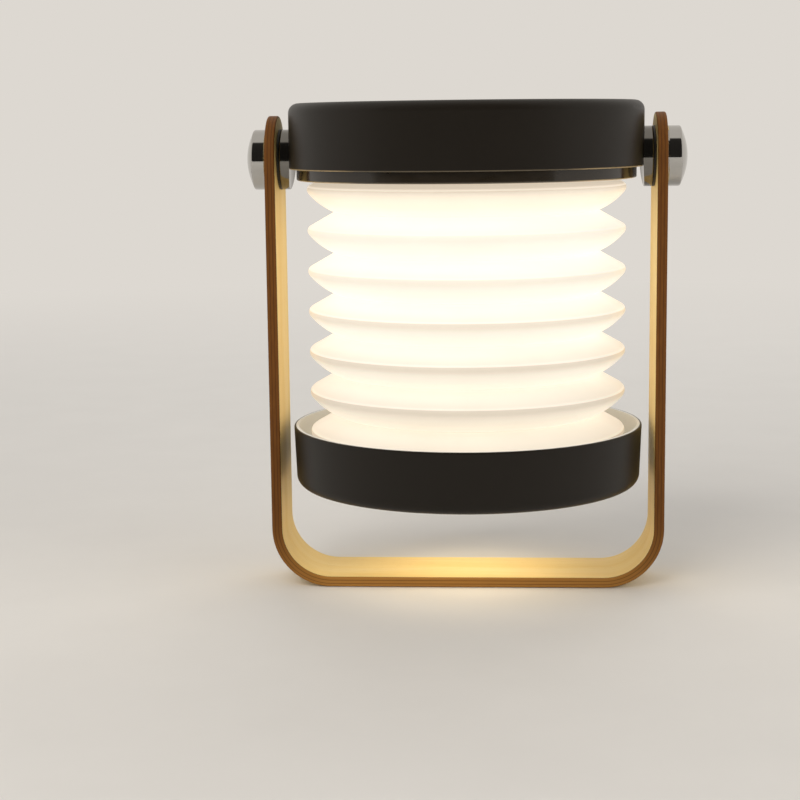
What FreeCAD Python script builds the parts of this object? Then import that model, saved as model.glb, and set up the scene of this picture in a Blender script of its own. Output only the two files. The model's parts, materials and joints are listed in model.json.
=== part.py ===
import FreeCAD, Part
import math
import os
import Sketcher

# Folding table lamp: a round head hangs between the legs of a bent wooden handle, which is also its stand.
# Frame: origin on the table under the middle of the lamp, Z up, pivot axis along X, front towards -Y.
# All sizes are in millimetres.

SIZES = {
    # bent wooden handle
    "strip_thickness": 3.2,
    "strip_width": 27.0,
    "bend_radius": 15.5,
    "strip_edge": 0.5,
    "pivot_height": 134.0,
    # fits
    "running_clearance": 0.05,
    "fit_clearance": 0.05,
    "axial_gap": 0.15,
    "seat_gap": 0.05,
    # pivots
    "bolt_radius": 2.0,
    "bush_wall": 1.0,
    "insert_radius": 3.0,
    "insert_length": 4.5,
    "insert_cover": 1.0,
    "notch_gap": 0.3,
    "washer_thickness": 0.6,
    "spacer_thickness": 2.55,
    "spacer_radius": 9.3,
    "spacer_edge": 0.5,
    "knob_radius": 9.3,
    "knob_relief": 0.6,
    "knob_step": 1.2,
    "knob_rim": 3.9,
    "knob_dome": 2.8,
    "knob_edge": 0.7,
    "knob_hole_depth": 4.2,
    # upper housing
    "housing_radius": 55.0,
    "housing_wall": 2.2,
    "housing_roof": 2.4,
    "housing_round": 3.0,
    "housing_lip": 0.5,
    "pivot_above_lip": 2.9,
    "boss_radius": 2.6,
    # touch switch
    "pad_radius": 5.0,
    "pad_raise": 0.5,
    "pad_recess": 0.8,
    "pad_edge": 0.3,
    "stem_radius": 1.8,
    "contact_flange": 2.6,
    "contact_flange_height": 1.2,
    "contact_barrel": 1.5,
    # closing ring under the housing
    "ring_reveal": 3.5,
    "ring_wall": 2.4,
    "ring_edge": 0.5,
    "ledge_thickness": 2.0,
    "ledge_width": 5.75,
    "pivot_boss_depth": 2.85,
    "pivot_boss_width": 12.0,
    "pivot_boss_drop": 4.4,
    # lamp plate with its dish
    "plate_thickness": 2.0,
    "collar_gap": 0.6,
    "collar_wall": 2.0,
    "flange_thickness": 1.6,
    "flange_reach": 3.9,
    "plate_screw_inset": 3.05,
    "plate_screw_radius": 1.0,
    "plate_screw_head": 2.1,
    "plate_screw_head_height": 1.5,
    "plate_screw_grip": 3.5,
    "plate_screw_count": 4,
    # electronics
    "led_board_gap": 0.5,
    "led_board_thickness": 1.6,
    "led_length": 3.5,
    "led_width": 2.8,
    "led_height": 0.7,
    "led_inset": 7.0,
    "led_row_spacing": 13.0,
    "led_outer_count": 20,
    "led_inner_count": 10,
    "board_width": 34.0,
    "board_front": 10.0,
    "board_setback": 3.8,
    "board_thickness": 1.2,
    "board_corner": 2.0,
    "board_headroom": 2.4,
    "standoff_height": 2.0,
    "standoff_radius": 2.0,
    "standoff_inset": 4.0,
    "battery_setback": 11.8,
    "battery_corner_gap": 4.8,
    "battery_thickness": 6.0,
    "battery_corner": 2.5,
    "battery_edge": 1.2,
    "battery_clearance": 5.0,
    "socket_width": 9.0,
    "socket_height": 3.2,
    "socket_length": 7.3,
    "socket_skin": 0.3,
    "socket_back": 1.0,
    "socket_corner": 1.3,
    "socket_recess": 0.8,
    "tongue_width": 6.7,
    "tongue_thickness": 0.7,
    "tongue_length": 5.0,
    "port_margin": 0.4,
    # bellows
    "crest_gap": 0.75,
    "pleat_depth": 8.4,
    "crest_place": 0.45,
    "bead_radius": 1.7,
    "flank_radius": 20.0,
    "bellows_wall": 1.2,
    "bellows_rise": 0.3,
    "bellows_lip": 1.0,
    "lip_width": 4.0,
    "cuff_height": 7.83,
    "pleat_count": 7,
    # clamp rings of the bellows
    "clamp_reach": 3.6,
    "clamp_thickness": 1.5,
    "clamp_gap": 0.2,
    "clamp_screw_inset": 1.8,
    "clamp_screw_radius": 0.9,
    "clamp_screw_head": 1.6,
    "clamp_screw_head_height": 1.0,
    "clamp_screw_grip": 1.2,
    "clamp_screw_count": 6,
    # cup
    "rim_drop": 80.3,
    "ring_fit_gap": 0.75,
    "cup_height": 18.9,
    "cup_taper": 0.6,
    "cup_wall": 1.5,
    "cup_floor": 2.0,
    "cup_round": 3.2,
    "rim_edge": 0.5,
    "reflector_thickness": 0.9,
    "window_ledge": 4.0,
    "window_recess": 0.3,
}

CUT_MARGIN = 2.0
DIAGONAL = math.sqrt(0.5)
QUARTER_TURN = 90.0
BEAD_SHOULDER = math.radians(70)
BEAD_NOSE = math.radians(30)
LEFT, RIGHT = -1, 1
SIDES = 2

doc = FreeCAD.newDocument("folding_lamp")
sheet = doc.addObject("Spreadsheet::Sheet", "Sizes")
for row, (alias, value) in enumerate(SIZES.items(), start=1):
    sheet.set(f"A{row}", str(value))
    sheet.setAlias(f"A{row}", alias)
doc.recompute()


class Size:
    """A number together with the sheet expression that it follows."""

    def __init__(self, value, text):
        self.value = value
        self.text = text

    def joined(self, sign, other, value):
        other_text = other.text if isinstance(other, Size) else repr(other)
        return Size(value, f"({self.text} {sign} {other_text})")

    def __add__(self, other):
        return self.joined("+", other, self.value + number(other))

    def __sub__(self, other):
        return self.joined("-", other, self.value - number(other))

    def __mul__(self, other):
        return self.joined("*", other, self.value * number(other))

    def __truediv__(self, other):
        return self.joined("/", other, self.value / number(other))

    def __neg__(self):
        return Size(-self.value, f"(-{self.text})")


def number(size):
    return size.value if isinstance(size, Size) else size


def root(size):
    return Size(math.sqrt(size.value), f"sqrt({size.text})")


def sized(alias):
    return Size(float(SIZES[alias]), f"Sizes.{alias}")


class Dimensions:
    """Every driving dimension as an attribute."""

    def __init__(self):
        for alias in SIZES:
            setattr(self, alias, sized(alias))


d = Dimensions()
ZERO = Size(0.0, "0")

# Radii from the housing inwards
housing_inner = d.housing_radius - d.housing_wall
ring_outer = housing_inner - d.fit_clearance
ring_inner = ring_outer - d.ring_wall
ledge_inner = ring_inner - d.ledge_width
pivot_boss_inner = ring_inner - d.pivot_boss_depth
plate_screw_circle = ring_inner - d.plate_screw_inset
plate_screw_spot = plate_screw_circle * DIAGONAL
collar_outer = ledge_inner - d.collar_gap
crest_radius = ring_inner - d.crest_gap
valley_radius = crest_radius - d.pleat_depth
bellows_bore = valley_radius - d.bellows_wall
lip_inner = valley_radius - d.lip_width
flange_inner = lip_inner - d.flange_reach
clamp_outer = bellows_bore - d.clamp_gap
clamp_inner = lip_inner - d.clamp_reach
clamp_screw_circle = lip_inner - d.clamp_screw_inset
reflector_radius = clamp_inner - d.clamp_gap
window_radius = reflector_radius - d.window_ledge
rim_inner = ring_outer + d.ring_fit_gap
rim_radius = rim_inner + d.cup_wall

# Places along the pivot axis from the housing outwards
washer_inside = d.housing_radius + d.spacer_thickness
washer_outside = washer_inside + d.washer_thickness
half_span = washer_outside + d.axial_gap
strip_outside = half_span + d.strip_thickness
knob_seat = strip_outside + d.axial_gap

# Levels from the pivot axis upwards
housing_bottom = d.pivot_height - d.pivot_above_lip
plate_seat = d.pivot_height + d.insert_radius + d.insert_cover
ledge_bottom = plate_seat - d.ledge_thickness
plate_top = plate_seat + d.plate_thickness
board_bottom = plate_top + d.standoff_height
board_top = board_bottom + d.board_thickness
ceiling = board_top + d.socket_height + d.board_headroom
housing_top = ceiling + d.housing_roof

# Levels from the housing downwards
ring_bottom = housing_bottom - d.ring_reveal
bellows_top = housing_bottom + d.bellows_rise
first_valley = bellows_top - d.bellows_lip
rim_level = housing_bottom - d.rim_drop
cup_bottom = rim_level - d.cup_height
cup_floor_level = cup_bottom + d.cup_floor
bellows_bottom = cup_floor_level + d.seat_gap
last_valley = bellows_bottom + d.cuff_height
pleat_pitch = (first_valley - last_valley) / d.pleat_count
lower_clamp_level = bellows_bottom + d.bellows_lip + d.seat_gap

# Fits
half_width = d.strip_width / 2
plate_screw_hole = d.plate_screw_radius + d.fit_clearance
clamp_screw_hole = d.clamp_screw_radius + d.fit_clearance
bush_radius = d.bolt_radius + d.running_clearance + d.bush_wall
bolt_bore = d.bolt_radius + d.fit_clearance


def new_body(label):
    body = doc.addObject("PartDesign::Body", label)
    body.Label = label
    return body


def origin_item(body, role):
    return next(item for item in body.Origin.OriginFeatures if item.Role == role)


def place_level(item, level):
    item.setExpression("AttachmentOffset.Base.z", level.text)


def bind(item, path, size):
    item.setExpression(path, size.text)


def line_to(x, y):
    return (x, y, None, 0)


def arc_to(x, y, radius, turn):
    """A short arc to (x, y): turn is 1 for a left-hand bend and -1 for a right-hand one."""
    return (x, y, radius, turn)


def arc_edge(start, end, radius, turn):
    chord = end - start
    height = math.sqrt(max(radius * radius - chord.Length * chord.Length / 4, 0.0))
    across = FreeCAD.Vector(-chord.y, chord.x, 0).normalize() * (height * turn)
    centre = (start + end) / 2 + across
    first, last = (start, end) if turn > 0 else (end, start)
    first_angle = math.atan2(first.y - centre.y, first.x - centre.x)
    last_angle = math.atan2(last.y - centre.y, last.x - centre.x)
    circle = Part.Circle(centre, FreeCAD.Vector(0, 0, 1), radius)
    return Part.ArcOfCircle(circle, first_angle, last_angle)


def pin_coordinate(sketch, kind, axis, geometry, end, size):
    """Ties one coordinate of a sketch point to the sheet."""
    if abs(size.value) < 1e-9:
        sketch.addConstraint(Sketcher.Constraint("PointOnObject", geometry, end, axis))
        return
    index = sketch.addConstraint(Sketcher.Constraint(kind, -1, 1, geometry, end, size.value))
    bind(sketch, f"Constraints[{index}]", size)


def pin_point(sketch, geometry, end, x, y):
    pin_coordinate(sketch, "DistanceX", -2, geometry, end, x)
    pin_coordinate(sketch, "DistanceY", -1, geometry, end, y)


def add_outline(sketch, outline):
    """Draws a closed outline of lines and arcs; each corner and each radius follows the sheet."""
    corners = [FreeCAD.Vector(number(x), number(y), 0) for x, y, _, _ in outline]
    drawn = []
    for n, (x, y, radius, turn) in enumerate(outline):
        start, end = corners[n - 1], corners[n]
        if radius is None:
            index = sketch.addGeometry(Part.LineSegment(start, end), False)
            drawn.append((index, 1, 2))
        else:
            index = sketch.addGeometry(arc_edge(start, end, radius.value, turn), False)
            drawn.append((index, 1, 2) if turn > 0 else (index, 2, 1))
    for n, (x, y, radius, _) in enumerate(outline):
        index, _, end = drawn[n]
        following, start, _ = drawn[(n + 1) % len(drawn)]
        sketch.addConstraint(Sketcher.Constraint("Coincident", index, end, following, start))
        pin_point(sketch, index, end, x, y)
    for n, (x, y, radius, _) in enumerate(outline):
        if radius is not None:
            row = sketch.addConstraint(Sketcher.Constraint("Radius", drawn[n][0], radius.value))
            bind(sketch, f"Constraints[{row}]", radius)


def add_circle(sketch, x, y, radius):
    centre = FreeCAD.Vector(number(x), number(y), 0)
    index = sketch.addGeometry(Part.Circle(centre, FreeCAD.Vector(0, 0, 1), radius.value), False)
    row = sketch.addConstraint(Sketcher.Constraint("Radius", index, radius.value))
    bind(sketch, f"Constraints[{row}]", radius)
    pin_point(sketch, index, 3, x, y)


def new_sketch(body, name, plane, level=None):
    sketch = body.newObject("Sketcher::SketchObject", name)
    sketch.AttachmentSupport = [(origin_item(body, plane), "")]
    sketch.MapMode = "FlatFace"
    if level is not None:
        place_level(sketch, level)
    return sketch


def outline_sketch(body, name, plane, outline, level=None):
    sketch = new_sketch(body, name, plane, level)
    add_outline(sketch, outline)
    return sketch


def circle_sketch(body, name, plane, circles, level=None):
    sketch = new_sketch(body, name, plane, level)
    for x, y, radius in circles:
        add_circle(sketch, x, y, radius)
    return sketch


def pad(body, name, sketch, length, symmetric=False):
    feature = body.newObject("PartDesign::Pad", name)
    feature.Profile = sketch
    feature.SideType = "Symmetric" if symmetric else "One side"
    bind(feature, "Length", length)
    body.Tip = feature
    doc.recompute()
    return feature


def pocket(body, name, sketch, length=None, symmetric=False, reverse=False):
    """Cuts a sketch out of a body, right through unless a depth is given."""
    doc.recompute()
    before = body.Shape.Volume
    feature = body.newObject("PartDesign::Pocket", name)
    feature.Profile = sketch
    feature.SideType = "Symmetric" if symmetric else "One side"
    feature.Reversed = reverse
    if length is None:
        feature.Type = "ThroughAll"
    else:
        feature.Type = "Length"
        bind(feature, "Length", length)
    body.Tip = feature
    doc.recompute()
    if not body.Shape.Volume < before:
        raise RuntimeError(f"{body.Label}: {name} cuts nothing")
    return feature


def revolve(body, name, outline):
    sketch = outline_sketch(body, f"{name}_profile", "XZ_Plane", outline)
    feature = body.newObject("PartDesign::Revolution", name)
    feature.Profile = sketch
    feature.ReferenceAxis = (sketch, ["V_Axis"])
    feature.Angle = 360.0
    body.Tip = feature
    doc.recompute()
    return feature


def ring_pattern(body, name, originals, count):
    """Repeats features round the lamp's axis; count is a number or a size."""
    feature = body.newObject("PartDesign::PolarPattern", name)
    feature.Originals = originals
    feature.Axis = (origin_item(body, "Z_Axis"), [""])
    feature.Angle = 360.0
    if isinstance(count, Size):
        bind(feature, "Occurrences", count)
    else:
        feature.Occurrences = count
    body.Tip = feature
    doc.recompute()
    return feature


def fillet(body, name, base, radius, wanted):
    """Rounds the edges of a feature that the test picks out."""
    doc.recompute()
    names = [f"Edge{n}" for n, edge in enumerate(base.Shape.Edges, start=1) if wanted(edge)]
    feature = body.newObject("PartDesign::Fillet", name)
    feature.Base = (base, names)
    bind(feature, "Radius", radius)
    body.Tip = feature
    doc.recompute()
    return feature


def rectangle(left, bottom, right, top):
    return [line_to(left, bottom), line_to(right, bottom), line_to(right, top), line_to(left, top)]


def rounded_rectangle(left, bottom, right, top, radius):
    return [
        line_to(right - radius, bottom),
        arc_to(right, bottom + radius, radius, 1),
        line_to(right, top - radius),
        arc_to(right - radius, top, radius, 1),
        line_to(left + radius, top),
        arc_to(left, top - radius, radius, 1),
        line_to(left, bottom + radius),
        arc_to(left + radius, bottom, radius, 1),
    ]


def on_pivot_axis(body, side):
    """Turns a body made along Z to lie along the pivot axis, out through the left or the right leg."""
    turn = FreeCAD.Rotation(FreeCAD.Vector(0, 1, 0), QUARTER_TURN * side)
    body.Placement = FreeCAD.Placement(FreeCAD.Vector(0, 0, 0), turn)
    bind(body, "Placement.Base.z", d.pivot_height)


def side_name(name, side):
    return f"{name}_{'left' if side == LEFT else 'right'}"


def make_handle():
    """A strip bent to a U, with full round leg ends about the pivot axis."""
    body = new_body("handle")
    outer_bend = d.bend_radius + d.strip_thickness
    inner_floor = d.strip_thickness + d.bend_radius
    leg_top = d.pivot_height + half_width
    strip = outline_sketch(body, "strip_outline", "XZ_Plane", [
        line_to(-strip_outside, leg_top),
        line_to(-strip_outside, outer_bend),
        arc_to(-strip_outside + outer_bend, ZERO, outer_bend, 1),
        line_to(strip_outside - outer_bend, ZERO),
        arc_to(strip_outside, outer_bend, outer_bend, 1),
        line_to(strip_outside, leg_top),
        line_to(half_span, leg_top),
        line_to(half_span, inner_floor),
        arc_to(half_span - d.bend_radius, d.strip_thickness, d.bend_radius, -1),
        line_to(-half_span + d.bend_radius, d.strip_thickness),
        arc_to(-half_span, inner_floor, d.bend_radius, -1),
        line_to(-half_span, leg_top),
    ])
    pad(body, "strip", strip, d.strip_width, symmetric=True)
    beyond = half_width + CUT_MARGIN
    above = leg_top + CUT_MARGIN
    ends = outline_sketch(body, "leg_end_outline", "YZ_Plane", [
        line_to(-beyond, d.pivot_height),
        line_to(-half_width, d.pivot_height),
        arc_to(ZERO, leg_top, half_width, -1),
        arc_to(half_width, d.pivot_height, half_width, -1),
        line_to(beyond, d.pivot_height),
        line_to(beyond, above),
        line_to(-beyond, above),
    ])
    rounded = pocket(body, "leg_ends", ends, symmetric=True)
    across = FreeCAD.Vector(1, 0, 0)
    along = FreeCAD.Vector(0, 1, 0)

    def follows_strip(edge):
        if not isinstance(edge.Curve, Part.Line):
            return True
        direction = edge.Curve.Direction
        return not (direction.isParallel(across, 1e-6) and edge.Length < d.strip_thickness.value * 1.01) \
            and not direction.isParallel(along, 1e-6)

    fillet(body, "softened_edges", rounded, d.strip_edge, follows_strip)
    hole = circle_sketch(body, "pivot_hole", "YZ_Plane",
                         [(ZERO, d.pivot_height, bush_radius + d.fit_clearance)])
    pocket(body, "pivot_holes", hole, symmetric=True)
    return body


def make_pivot_bush(side):
    body = new_body(side_name("pivot_bush", side))
    bore = d.bolt_radius + d.running_clearance
    revolve(body, "sleeve", rectangle(bore, half_span, bush_radius, strip_outside))
    on_pivot_axis(body, side)
    return body


def make_pivot_bolt(side):
    body = new_body(side_name("pivot_bolt", side))
    tip = knob_seat + d.knob_hole_depth - d.seat_gap
    revolve(body, "stud", rectangle(ZERO, pivot_boss_inner, d.bolt_radius, tip))
    on_pivot_axis(body, side)
    return body


def make_pivot_insert(side):
    body = new_body(side_name("pivot_insert", side))
    outer_end = pivot_boss_inner + d.insert_length
    revolve(body, "sleeve", rectangle(bolt_bore, pivot_boss_inner, d.insert_radius, outer_end))
    on_pivot_axis(body, side)
    return body


def make_friction_washer(side):
    body = new_body(side_name("friction_washer", side))
    revolve(body, "disc", rectangle(bolt_bore, washer_inside, d.spacer_radius, washer_outside))
    on_pivot_axis(body, side)
    return body


def make_spacer(side):
    """A disc whose inner face is hollowed to sit against the round housing."""
    body = new_body(side_name("spacer", side))
    inner_end = d.housing_radius - CUT_MARGIN
    rim = d.spacer_radius - d.spacer_edge
    revolve(body, "disc", [
        line_to(bolt_bore, inner_end),
        line_to(d.spacer_radius, inner_end),
        line_to(d.spacer_radius, washer_inside - d.spacer_edge),
        arc_to(rim, washer_inside, d.spacer_edge, 1),
        line_to(bolt_bore, washer_inside),
    ])
    saddle = circle_sketch(body, "saddle_outline", "YZ_Plane", [(ZERO, ZERO, d.housing_radius + d.fit_clearance)])
    pocket(body, "saddle", saddle, symmetric=True)
    on_pivot_axis(body, side)
    return body


def make_knob(side):
    """A turned cap with a stepped foot, a rounded rim and a dome, screwed on the end of the pivot bolt."""
    body = new_body(side_name("knob", side))
    neck = d.knob_radius - d.knob_step
    rim_bottom = knob_seat + d.knob_relief
    rim_top = knob_seat + d.knob_rim
    face = d.knob_radius - d.knob_edge
    shoulder = rim_top + d.knob_edge
    crown = rim_top + d.knob_dome
    sagitta = d.knob_dome - d.knob_edge
    dome_radius = (face * face + sagitta * sagitta) / (sagitta * 2)
    revolve(body, "cap", [
        line_to(bolt_bore, knob_seat),
        line_to(neck, knob_seat),
        line_to(neck, rim_bottom),
        line_to(d.knob_radius, rim_bottom),
        line_to(d.knob_radius, rim_top),
        arc_to(face, shoulder, d.knob_edge, 1),
        arc_to(ZERO, crown, dome_radius, 1),
        line_to(ZERO, knob_seat + d.knob_hole_depth),
        line_to(bolt_bore, knob_seat + d.knob_hole_depth),
    ])
    on_pivot_axis(body, side)
    return body


def make_top_housing():
    body = new_body("top_housing")
    lip = d.housing_lip
    pad_bore = d.pad_radius + d.fit_clearance
    stem_bore = d.stem_radius + d.fit_clearance
    recess_floor = housing_top - d.pad_recess
    revolve(body, "cap", [
        line_to(stem_bore, ceiling),
        line_to(housing_inner, ceiling),
        line_to(housing_inner, housing_bottom),
        line_to(d.housing_radius - lip, housing_bottom),
        arc_to(d.housing_radius, housing_bottom + lip, lip, 1),
        line_to(d.housing_radius, housing_top - d.housing_round),
        arc_to(d.housing_radius - d.housing_round, housing_top, d.housing_round, 1),
        line_to(pad_bore, housing_top),
        line_to(pad_bore, recess_floor),
        line_to(stem_bore, recess_floor),
    ])
    spot = plate_screw_spot
    tube = circle_sketch(body, "boss_outline", "XY_Plane",
                         [(spot, spot, d.boss_radius), (spot, spot, plate_screw_hole)], plate_top)
    boss = pad(body, "boss", tube, ceiling - plate_top)
    ring_pattern(body, "bosses", [boss], d.plate_screw_count)
    half_notch = d.bolt_radius + d.notch_gap
    below = housing_bottom - CUT_MARGIN
    notch = outline_sketch(body, "bolt_notch_outline", "YZ_Plane", [
        line_to(-half_notch, below),
        line_to(half_notch, below),
        line_to(half_notch, d.pivot_height),
        arc_to(ZERO, d.pivot_height + half_notch, half_notch, 1),
        arc_to(-half_notch, d.pivot_height, half_notch, 1),
    ])
    pocket(body, "bolt_notches", notch, symmetric=True)
    half_port = d.socket_width / 2 + d.port_margin
    port = outline_sketch(body, "charging_port_outline", "XZ_Plane", rounded_rectangle(
        -half_port, board_top - d.port_margin, half_port, board_top + d.socket_height + d.port_margin,
        d.socket_corner + d.port_margin))
    pocket(body, "charging_port", port)
    return body


def make_touch_pad():
    body = new_body("touch_pad")
    seat = housing_top - d.pad_recess
    face = housing_top + d.pad_raise
    revolve(body, "button", [
        line_to(ZERO, ceiling),
        line_to(d.stem_radius, ceiling),
        line_to(d.stem_radius, seat),
        line_to(d.pad_radius, seat),
        line_to(d.pad_radius, face - d.pad_edge),
        arc_to(d.pad_radius - d.pad_edge, face, d.pad_edge, 1),
        line_to(ZERO, face),
    ])
    return body


def make_touch_contact():
    """A sprung contact between the control board and the touch pad's stem."""
    body = new_body("touch_contact")
    flange_top = board_top + d.contact_flange_height
    revolve(body, "contact", [
        line_to(ZERO, board_top),
        line_to(d.contact_flange, board_top),
        line_to(d.contact_flange, flange_top),
        line_to(d.contact_barrel, flange_top),
        line_to(d.contact_barrel, ceiling),
        line_to(ZERO, ceiling),
    ])
    return body


def make_closing_ring():
    """The ring that enters the cup; its upstand carries the pivots and its ledge the lamp plate."""
    body = new_body("closing_ring")
    revolve(body, "band", [
        line_to(ring_inner, ring_bottom),
        line_to(ring_outer - d.ring_edge, ring_bottom),
        arc_to(ring_outer, ring_bottom + d.ring_edge, d.ring_edge, 1),
        line_to(ring_outer, plate_seat),
        line_to(ledge_inner, plate_seat),
        line_to(ledge_inner, ledge_bottom),
        line_to(ring_inner, ledge_bottom),
    ])
    half_boss = d.pivot_boss_width / 2
    into_ledge = ledge_bottom + d.ledge_thickness / 2
    block = outline_sketch(body, "pivot_boss_outline", "YZ_Plane", rectangle(
        -half_boss, d.pivot_height - d.pivot_boss_drop, half_boss, into_ledge), pivot_boss_inner)
    boss = pad(body, "pivot_boss", block, ring_inner + d.ring_wall / 2 - pivot_boss_inner)
    ring_pattern(body, "pivot_bosses", [boss], SIDES)
    bore = circle_sketch(body, "insert_bore_outline", "YZ_Plane",
                         [(ZERO, d.pivot_height, d.insert_radius + d.fit_clearance)])
    pocket(body, "insert_bores", bore, symmetric=True)
    hole = circle_sketch(body, "screw_hole_outline", "XY_Plane",
                         [(plate_screw_spot, plate_screw_spot, plate_screw_hole)], plate_seat)
    holes = pocket(body, "screw_hole", hole, d.ledge_thickness)
    ring_pattern(body, "screw_holes", [holes], d.plate_screw_count)
    return body


def make_lamp_plate():
    """A dished plate: its rim lies on the ring's ledge, and its flange holds the bellows."""
    body = new_body("lamp_plate")
    collar_inner = collar_outer - d.collar_wall
    flange_top = bellows_top + d.flange_thickness
    revolve(body, "dish", [
        line_to(ZERO, plate_seat),
        line_to(collar_inner, plate_seat),
        line_to(collar_inner, flange_top),
        line_to(flange_inner, flange_top),
        line_to(flange_inner, bellows_top),
        line_to(collar_outer, bellows_top),
        line_to(collar_outer, plate_seat),
        line_to(ring_outer, plate_seat),
        line_to(ring_outer, plate_top),
        line_to(ZERO, plate_top),
    ])
    hole = circle_sketch(body, "screw_hole_outline", "XY_Plane",
                         [(plate_screw_spot, plate_screw_spot, plate_screw_hole)], plate_top)
    holes = pocket(body, "screw_hole", hole, d.plate_thickness)
    ring_pattern(body, "screw_holes", [holes], d.plate_screw_count)
    clamp = circle_sketch(body, "clamp_pilot_outline", "XY_Plane",
                          [(clamp_screw_circle, ZERO, clamp_screw_hole)], flange_top)
    pilot = pocket(body, "clamp_pilot", clamp, d.flange_thickness)
    ring_pattern(body, "clamp_pilots", [pilot], d.clamp_screw_count)
    side = d.board_width / 2 - d.standoff_inset
    front = -d.board_front + d.standoff_inset
    rear = housing_inner - d.board_setback - d.standoff_inset * 2
    posts = circle_sketch(body, "standoff_outline", "XY_Plane", [
        (-side, front, d.standoff_radius), (side, front, d.standoff_radius),
        (-side, rear, d.standoff_radius), (side, rear, d.standoff_radius)], plate_top)
    pad(body, "standoffs", posts, d.standoff_height)
    return body


def make_led_board():
    disc = doc.addObject("Part::Cylinder", "led_board")
    bind(disc, "Radius", flange_inner - d.led_board_gap)
    bind(disc, "Height", d.led_board_thickness)
    bind(disc, "Placement.Base.z", plate_seat - d.led_board_thickness)
    return disc


def make_leds():
    """Two rings of small emitters under the light board."""
    body = new_body("leds")
    face = plate_seat - d.led_board_thickness - d.led_height
    outer_circle = flange_inner - d.led_board_gap - d.led_inset
    inner_circle = outer_circle - d.led_row_spacing
    for name, circle, count in (("outer", outer_circle, d.led_outer_count),
                                ("inner", inner_circle, d.led_inner_count)):
        chip = outline_sketch(body, f"{name}_chip_outline", "XY_Plane", rectangle(
            circle - d.led_width / 2, -d.led_length / 2, circle + d.led_width / 2, d.led_length / 2), face)
        first = pad(body, f"{name}_chip", chip, d.led_height)
        ring_pattern(body, f"{name}_chips", [first], count)
    return body


def make_control_board():
    body = new_body("control_board")
    half = d.board_width / 2
    rear = housing_inner - d.board_setback
    outline = outline_sketch(body, "board_outline", "XY_Plane", rounded_rectangle(
        -half, -d.board_front, half, rear, d.board_corner), board_bottom)
    pad(body, "board", outline, d.board_thickness)
    return body


def make_battery():
    """A flat cell that fills the room between the control board and the round wall."""
    body = new_body("battery")
    reach = housing_inner - d.battery_setback
    room = housing_inner - d.battery_corner_gap
    half = root(room * room - reach * reach)
    outline = outline_sketch(body, "cell_outline", "XY_Plane", rounded_rectangle(
        -half, -reach, half, -d.board_front - d.battery_clearance, d.battery_corner), plate_top)
    cell = pad(body, "cell", outline, d.battery_thickness)
    bottom = plate_top.value

    def on_top_or_bottom(edge):
        levels = [vertex.Z - bottom for vertex in edge.Vertexes]
        return abs(levels[0] - levels[-1]) < 1e-6

    fillet(body, "soft_edges", cell, d.battery_edge, on_top_or_bottom)
    return body


def make_usb_socket():
    """The charging inlet: a drawn shell, open at the rear, with its contact tongue."""
    body = new_body("usb_socket")
    half = d.socket_width / 2
    tall = d.socket_height / 2
    shell = outline_sketch(body, "shell_outline", "XY_Plane", rounded_rectangle(
        -half, -tall, half, tall, d.socket_corner))
    pad(body, "shell", shell, d.socket_length)
    mouth = outline_sketch(body, "mouth_outline", "XY_Plane", rounded_rectangle(
        -half + d.socket_skin, -tall + d.socket_skin, half - d.socket_skin, tall - d.socket_skin,
        d.socket_corner - d.socket_skin), d.socket_length)
    pocket(body, "mouth", mouth, d.socket_length - d.socket_back)
    reach = d.tongue_width / 2
    thick = d.tongue_thickness / 2
    tongue = outline_sketch(body, "tongue_outline", "XY_Plane",
                            rectangle(-reach, -thick, reach, thick), d.socket_back / 2)
    pad(body, "tongue", tongue, d.tongue_length + d.socket_back / 2)
    body.Placement.Rotation = FreeCAD.Rotation(FreeCAD.Vector(1, 0, 0), -QUARTER_TURN)
    bind(body, "Placement.Base.y", d.housing_radius - d.socket_recess - d.socket_length)
    bind(body, "Placement.Base.z", board_top + tall)
    return body


def make_bellows():
    """A pleated sleeve: one turned pleat repeated along the axis, with an inward lip at each end.

    A pleat has a straight upper flank, a rounded bead along its crest and a full lower flank."""
    body = new_body("bellows")
    crest = first_valley - pleat_pitch * d.crest_place
    shoulder_radius = crest_radius - d.bead_radius * (1 - math.cos(BEAD_SHOULDER))
    shoulder_level = crest + d.bead_radius * math.sin(BEAD_SHOULDER)
    nose_radius = crest_radius - d.bead_radius * (1 - math.cos(BEAD_NOSE))
    nose_level = crest - d.bead_radius * math.sin(BEAD_NOSE)
    next_valley = first_valley - pleat_pitch
    pleat = revolve(body, "pleat", [
        line_to(valley_radius, first_valley),
        line_to(bellows_bore, first_valley),
        line_to(shoulder_radius - d.bellows_wall, shoulder_level),
        line_to(nose_radius - d.bellows_wall, nose_level),
        arc_to(bellows_bore, next_valley, d.flank_radius, -1),
        line_to(valley_radius, next_valley),
        arc_to(nose_radius, nose_level, d.flank_radius, 1),
        arc_to(shoulder_radius, shoulder_level, d.bead_radius, 1),
    ])
    row = body.newObject("PartDesign::LinearPattern", "pleats")
    row.Originals = [pleat]
    row.Direction = (origin_item(body, "Z_Axis"), [""])
    row.Reversed = True
    bind(row, "Length", pleat_pitch * (d.pleat_count - 1))
    bind(row, "Occurrences", d.pleat_count)
    body.Tip = row
    doc.recompute()
    revolve(body, "upper_lip", rectangle(lip_inner, first_valley, valley_radius, bellows_top))
    revolve(body, "lower_cuff", [
        line_to(lip_inner, bellows_bottom),
        line_to(valley_radius, bellows_bottom),
        line_to(valley_radius, last_valley),
        line_to(bellows_bore, last_valley),
        line_to(bellows_bore, bellows_bottom + d.bellows_lip),
        line_to(lip_inner, bellows_bottom + d.bellows_lip),
    ])
    return body


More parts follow.
